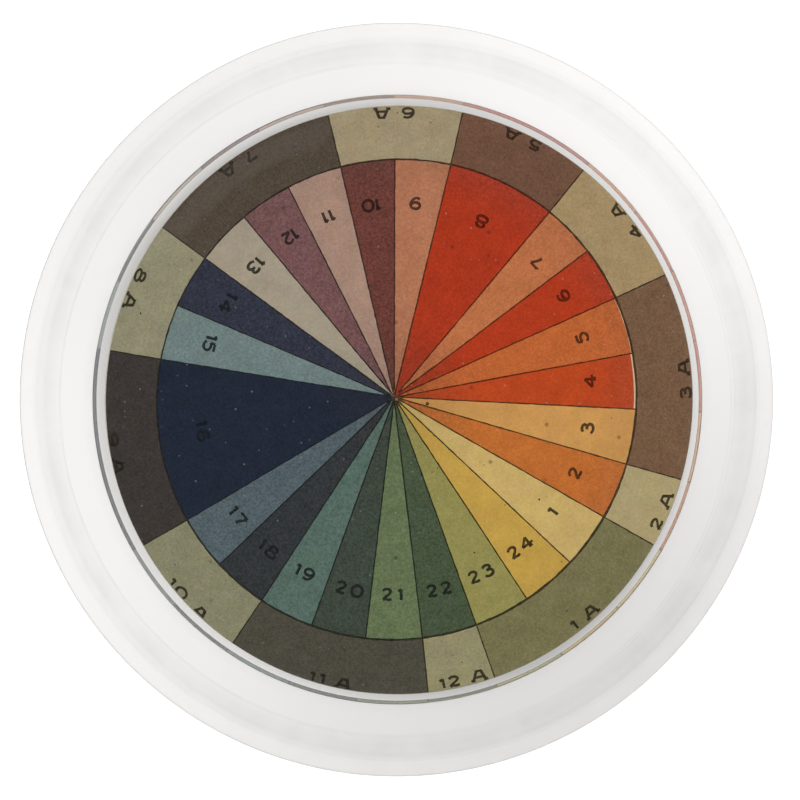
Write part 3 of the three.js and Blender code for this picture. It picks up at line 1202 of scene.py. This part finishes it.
class PAPERWEIGHT_OT_stage(bpy.types.Operator):
    """Lay the floor, hang the lamps, set the sky and the camera."""

    bl_idname = "paperweight.stage"
    bl_label = "Set the stage"

    def execute(self, context):
        self.floor()
        self.sky(context)
        self.lamp("right_lamp", azimuth=48, elevation=48, distance=1.3, side=0.8, power=8.4)
        self.lamp("left_lamp", azimuth=190, elevation=48, distance=1.3, side=0.8, power=6.5)
        self.camera(context)
        context.scene.view_settings.view_transform = "Standard"
        return {"FINISHED"}

    @staticmethod
    def floor():
        """White paper sweep: what the camera sees of it is white, and it keeps the shadow."""
        select_only()
        bpy.ops.mesh.primitive_plane_add(size=6.0, location=(0, 0, -0.01 * MM))
        floor = bpy.context.object
        floor.name = "floor"
        bpy.ops.object.transform_apply(location=True, rotation=True, scale=True)
        material, tree, place = new_material("white_paper_sweep")
        tone = mottle(tree, place, {"Scale": 60.0, "Detail": 3.0}, 0.62, 0.65, used=0.5)
        warm = node(tree, "ShaderNodeVectorMath", {0: (1.0, 0.984, 0.976), "Scale": tone}, operation="SCALE")
        plain = node(tree, "ShaderNodeBsdfDiffuse", {"Color": warm})
        path = node(tree, "ShaderNodeLightPath").outputs
        seen = node(tree, "ShaderNodeMath", {0: path["Is Camera Ray"], 1: 0.52}, operation="MULTIPLY")

        # Light that the glass gathers on the sweep under it: more on the far side, but less right by the pad
        along = node(tree, "ShaderNodeVectorMath", {
            0: place, 1: (-0.32, 0.95, 0.0)}, operation="DOT_PRODUCT").outputs["Value"]
        slant, beside_pad = [
            node(tree, "ShaderNodeMapRange", {
                "Value": along, "From Min": -50 * MM, "From Max": 50 * MM, "To Min": near, "To Max": far})
            for near, far in ((0.08, 0.29), (0.375, 0.135))]
        reach = node(tree, "ShaderNodeVectorMath", {0: place}, operation="LENGTH").outputs["Value"]
        beside = node(tree, "ShaderNodeMapRange", {
            "Value": reach, "From Min": 31.0 * MM, "From Max": 32.6 * MM, "To Min": 1.0, "To Max": 0.0},
            interpolation_type="SMOOTHSTEP")
        gathered = node(tree, "ShaderNodeMix", {0: beside, 2: slant, 3: beside_pad}, data_type="FLOAT")

        # More of it gathers towards the lower left and the upper right than across them
        way = node(tree, "ShaderNodeVectorMath", {0: place}, operation="NORMALIZE")
        crosswise = node(tree, "ShaderNodeVectorMath", {
            0: way, 1: (0.829, 0.559, 0.0)}, operation="DOT_PRODUCT").outputs["Value"]
        squared = node(tree, "ShaderNodeMath", {0: crosswise, 1: crosswise}, operation="MULTIPLY")
        spread = node(tree, "ShaderNodeMath", {0: squared, 1: 0.13, 2: gathered}, operation="MULTIPLY_ADD")
        bent = node(tree, "ShaderNodeMath", {0: path["Is Glossy Ray"], 1: spread}, operation="MULTIPLY")
        lift = node(tree, "ShaderNodeMath", {0: seen, 1: bent}, operation="MAXIMUM")
        glow = node(tree, "ShaderNodeEmission", {"Color": (1.0, 0.988, 0.986, 1.0), "Strength": lift})
        both = node(tree, "ShaderNodeAddShader", {0: plain, 1: glow})
        floor.data.materials.append(surfaced(material, both))

    @staticmethod
    def sky(context):
        """Even light all round. Glass mirrors a room that is white low down and dim overhead."""
        world = bpy.data.worlds.new("studio")
        context.scene.world = world
        world.use_nodes = True
        tree = world.node_tree
        tree.nodes.clear()
        way = node(tree, "ShaderNodeTexCoord").outputs["Generated"]
        height = node(tree, "ShaderNodeSeparateXYZ", {0: way}).outputs[2]
        dim = node(tree, "ShaderNodeMapRange", {
            "Value": height, "From Min": 0.05, "From Max": 0.42, "To Min": 0.9, "To Max": 0.02},
            interpolation_type="SMOOTHSTEP")

        # A window at the upper left, mirrored in the lens as a soft short arc
        window_way = math.radians(124)
        aim = node(tree, "ShaderNodeVectorMath", {
            0: way, 1: (math.cos(window_way), math.sin(window_way), 0.0)}, operation="DOT_PRODUCT")
        width, sill, head = [
            node(tree, "ShaderNodeMapRange", {
                "Value": value, "From Min": low, "From Max": high, "To Min": first, "To Max": last},
                interpolation_type="SMOOTHSTEP")
            for value, low, high, first, last in (
                (aim.outputs["Value"], 0.815, 0.855, 0.0, 1.0),
                (height, 0.38, 0.40, 0.0, 0.33),
                (height, 0.46, 0.50, 1.0, 0.0),
            )]
        opening = node(tree, "ShaderNodeMath", {0: sill, 1: head}, operation="MULTIPLY")
        lit = node(tree, "ShaderNodeMath", {0: opening, 1: width, 2: dim}, operation="MULTIPLY_ADD")
        room = node(tree, "ShaderNodeBackground", {"Color": lit, "Strength": 1.0})
        white = node(tree, "ShaderNodeBackground", {"Color": (1, 1, 1, 1), "Strength": 1.0})
        ambient = node(tree, "ShaderNodeBackground", {"Color": (1, 1, 1, 1), "Strength": 0.5})
        path = node(tree, "ShaderNodeLightPath").outputs
        mirrored = node(tree, "ShaderNodeMixShader", {0: path["Is Glossy Ray"], 1: ambient, 2: room})
        direct = node(tree, "ShaderNodeMath", {
            0: path["Is Camera Ray"], 1: path["Is Transmission Ray"]}, operation="MAXIMUM")
        whole = node(tree, "ShaderNodeMixShader", {0: direct, 1: mirrored, 2: white})
        node(tree, "ShaderNodeOutputWorld", {"Surface": whole})

    @staticmethod
    def lamp(name, azimuth, elevation, distance, side, power):
        """A soft square lamp that faces the paperweight and isn't mirrored in the glass."""
        a, e = math.radians(azimuth), math.radians(elevation)
        away = Vector((math.cos(a) * math.cos(e), math.sin(a) * math.cos(e), math.sin(e)))
        select_only()
        bpy.ops.object.light_add(type="AREA", location=away * distance)
        lamp = bpy.context.object
        lamp.name = name
        lamp.rotation_euler = away.to_track_quat("Z", "Y").to_euler()
        lamp.data.shape = "SQUARE"
        lamp.data.size = side
        lamp.data.energy = power
        lamp.visible_glossy = False
        lamp.visible_transmission = False
        lamp.visible_camera = False

    @staticmethod
    def camera(context):
        """One metre above, and a little over one degree off the axis, as the picture was taken."""
        target = Vector((0.455 * MM, -0.055 * MM, 9.57 * MM))
        distance = 0.9904
        lean = math.radians(1.15)
        away = Vector((-math.sin(lean), 0.0, math.cos(lean)))
        select_only()
        bpy.ops.object.camera_add(location=target + away * distance, rotation=(0.0, -lean, 0.0))
        camera = bpy.context.object
        camera.name = "camera"
        camera.data.sensor_width = 36.0
        camera.data.lens = 378.0
        camera.data.clip_start = 0.05
        camera.data.clip_end = 50.0
        camera.data.dof.use_dof = False
        context.scene.camera = camera


class PAPERWEIGHT_PT_panel(bpy.types.Panel):
    """Sizes, colours and steps of the paperweight."""

    bl_idname = "PAPERWEIGHT_PT_panel"
    bl_label = "Paperweight"
    bl_space_type = "VIEW_3D"
    bl_region_type = "UI"
    bl_category = "Paperweight"

    def draw(self, context):
        for group in GROUPS:
            settings = getattr(context.scene, group)
            box = self.layout.box()
            for name in settings.__annotations__:
                box.prop(settings, name)
        for step in STEPS:
            self.layout.operator(step.bl_idname)


STEPS = (
    PAPERWEIGHT_OT_glass,
    PAPERWEIGHT_OT_sheet,
    PAPERWEIGHT_OT_lines,
    PAPERWEIGHT_OT_numbers,
    PAPERWEIGHT_OT_backing,
    PAPERWEIGHT_OT_felt,
    PAPERWEIGHT_OT_stage,
)
GROUPS = {
    "paperweight_glass": PaperweightGlass,
    "paperweight_print": PaperweightPrint,
    "paperweight_backing": PaperweightBacking,
}


def register():
    """Registers the settings, the steps and the panel."""
    for name, group in GROUPS.items():
        bpy.utils.register_class(group)
        setattr(bpy.types.Scene, name, bpy.props.PointerProperty(type=group))
    for kind in (*STEPS, PAPERWEIGHT_PT_panel):
        bpy.utils.register_class(kind)


def unregister():
    """Takes away all that register added."""
    for kind in reversed((*STEPS, PAPERWEIGHT_PT_panel)):
        bpy.utils.unregister_class(kind)
    for name, group in reversed(GROUPS.items()):
        delattr(bpy.types.Scene, name)
        bpy.utils.unregister_class(group)


def main():
    """Builds the paperweight step by step."""
    register()
    for step in STEPS:
        group, name = step.bl_idname.split(".")
        getattr(getattr(bpy.ops, group), name)()


if __name__ == "__main__":
    main()
